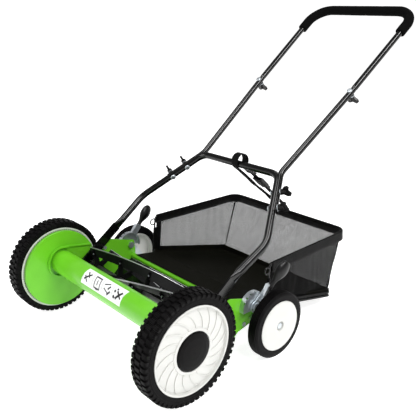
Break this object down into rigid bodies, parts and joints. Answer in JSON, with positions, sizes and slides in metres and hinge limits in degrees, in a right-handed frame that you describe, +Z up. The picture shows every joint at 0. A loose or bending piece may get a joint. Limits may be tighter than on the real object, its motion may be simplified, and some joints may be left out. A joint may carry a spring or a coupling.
{
  "type": "reel mower",
  "caption": "Push reel mower with gear-driven helical blades, folding tube handle, height levers and a mesh grass catcher.",
  "frame": {"origin": "middle of the footprint at floor level", "axes": "+Y towards the rear, where the handle points; front of the mower faces -Y; +X to the left of someone pushing; +Z up"},
  "size_m": [0.608, 1.1068, 0.7952],
  "materials": {
    "green_paint": "gloss",
    "black_paint": "gloss",
    "reel_paint": "satin, ground bright at the cutting edge",
    "tyre": "matte",
    "white_plastic": "satin",
    "black_plastic": "satin",
    "zinc": "zinc plated",
    "steel": "ground",
    "foam": "closed-cell foam, matte",
    "mesh_fabric": "open woven mesh",
    "black_fabric": "woven, matte",
    "webbing": "ribbed webbing",
    "label": "printed film"
  },
  "bodies": {
    "chassis": {"side_plate_left": "green_paint", "side_plate_right": "green_paint", "front_tube": "green_paint", "rear_tie_rod": "green_paint", "clipping_guide": "black_paint", "tube_label": "label", "front_axles": "zinc", "reel_bearings": "steel", "handle_pivot_bolts": "zinc", "handle_stops": "zinc", "plate_bolts": "zinc", "bed_pivot_bolts": "zinc", "height_quadrants": "zinc", "height_pivot_bolts": "zinc"},
    "wheel_left": {"front_tyre_left": "tyre", "front_hub_left": "white_plastic", "front_cap_left": "black_plastic"},
    "wheel_right": {"front_tyre_right": "tyre", "front_hub_right": "white_plastic", "front_cap_right": "black_plastic"},
    "reel": {"reel_shaft": "steel", "reel_blades": "reel_paint", "reel_spiders": "reel_paint", "reel_rivets": "zinc", "reel_pinions": "steel"},
    "cutter_bar": {"bed_bar": "green_paint", "bed_knife": "steel", "knife_screws": "zinc"},
    "height_left": {"height_arm_left": "zinc", "height_grip_left": "black_plastic", "rear_axle_bolt_left": "zinc"},
    "height_right": {"height_arm_right": "zinc", "height_grip_right": "black_plastic", "rear_axle_bolt_right": "zinc"},
    "rear_wheel_left": {"rear_tyre_left": "tyre", "rear_hub_left": "white_plastic"},
    "rear_wheel_right": {"rear_tyre_right": "tyre", "rear_hub_right": "white_plastic"},
    "handle": {"handle_yoke": "black_paint", "handle_mid_left": "black_paint", "handle_mid_right": "black_paint", "handle_upper": "black_paint", "handle_bolts": "zinc", "handle_grip": "foam", "strap": "webbing", "strap_buckle": "black_plastic", "strap_slider": "black_plastic", "strap_hook": "black_plastic"},
    "catcher": {"catcher_frame": "black_paint", "catcher_base": "black_fabric", "catcher_side_left": "mesh_fabric", "catcher_side_right": "mesh_fabric", "catcher_back": "mesh_fabric", "catcher_binding": "black_fabric"},
    "knob_low_left": {"wing_knob_low_left": "black_plastic"},
    "knob_low_right": {"wing_knob_low_right": "black_plastic"},
    "knob_high_left": {"wing_knob_high_left": "black_plastic"},
    "knob_high_right": {"wing_knob_high_right": "black_plastic"},
    "knob_top_left": {"wing_knob_top_left": "black_plastic"},
    "knob_top_right": {"wing_knob_top_right": "black_plastic"}
  },
  "joints": [
    {"name": "front_wheel_left_spin", "type": "hinge", "parent": "chassis", "child": "wheel_left", "pos_m": [0.275, -0.4264, 0.127], "axis": [1, 0, 0], "continuous": true},
    {"name": "front_wheel_right_spin", "type": "hinge", "parent": "chassis", "child": "wheel_right", "pos_m": [-0.275, -0.4264, 0.127], "axis": [1, 0, 0], "continuous": true},
    {"name": "reel_spin", "type": "hinge", "parent": "chassis", "child": "reel", "pos_m": [0, -0.33439, 0.1134], "axis": [1, 0, 0], "continuous": true},
    {"name": "bed_bar_adjust", "type": "hinge", "parent": "chassis", "child": "cutter_bar", "pos_m": [0, -0.2764, 0.062], "axis": [1, 0, 0], "range_deg": [0, 3]},
    {"name": "height_lever_left_swing", "type": "hinge", "parent": "chassis", "child": "height_left", "pos_m": [0.25875, -0.20039, 0.132], "axis": [1, 0, 0], "range_deg": [-10, 14]},
    {"name": "height_lever_right_swing", "type": "hinge", "parent": "chassis", "child": "height_right", "pos_m": [-0.25875, -0.20039, 0.132], "axis": [1, 0, 0], "range_deg": [-10, 14]},
    {"name": "rear_wheel_left_spin", "type": "hinge", "parent": "height_left", "child": "rear_wheel_left", "pos_m": [0.286, -0.1584, 0.0827], "axis": [1, 0, 0], "continuous": true},
    {"name": "rear_wheel_right_spin", "type": "hinge", "parent": "height_right", "child": "rear_wheel_right", "pos_m": [-0.286, -0.1584, 0.0827], "axis": [1, 0, 0], "continuous": true},
    {"name": "handle_fold", "type": "hinge", "parent": "chassis", "child": "handle", "pos_m": [0, -0.3664, 0.123], "axis": [1, 0, 0], "range_deg": [0, 60]},
    {"name": "catcher_pull_off", "type": "slide", "parent": "chassis", "child": "catcher", "axis": [0, 1, 0], "range_m": [0, 0.4]},
    {"name": "wing_knob_low_left_turn", "type": "hinge", "parent": "handle", "child": "knob_low_left", "pos_m": [0.19328, -0.0763, 0.32938], "axis": [0.8878, 0.3723, 0.2705], "continuous": true},
    {"name": "wing_knob_low_right_turn", "type": "hinge", "parent": "handle", "child": "knob_low_right", "pos_m": [-0.19328, -0.0763, 0.32938], "axis": [-0.8878, 0.3723, 0.2705], "continuous": true},
    {"name": "wing_knob_high_left_turn", "type": "hinge", "parent": "handle", "child": "knob_high_left", "pos_m": [0.17047, -0.04165, 0.35654], "axis": [0.8878, 0.3723, 0.2705], "continuous": true},
    {"name": "wing_knob_high_right_turn", "type": "hinge", "parent": "handle", "child": "knob_high_right", "pos_m": [-0.17047, -0.04165, 0.35654], "axis": [-0.8878, 0.3723, 0.2705], "continuous": true},
    {"name": "wing_knob_top_left_turn", "type": "hinge", "parent": "handle", "child": "knob_top_left", "pos_m": [0.16543, 0.25495, 0.57443], "axis": [0, 0.5878, -0.809], "continuous": true},
    {"name": "wing_knob_top_right_turn", "type": "hinge", "parent": "handle", "child": "knob_top_right", "pos_m": [-0.16543, 0.25495, 0.57443], "axis": [0, 0.5878, -0.809], "continuous": true}
  ],
  "couplings": [
    {"joint": "front_wheel_right_spin", "follows": "front_wheel_left_spin", "ratio": 1},
    {"joint": "reel_spin", "follows": "front_wheel_left_spin", "ratio": 9.4545}
  ]
}
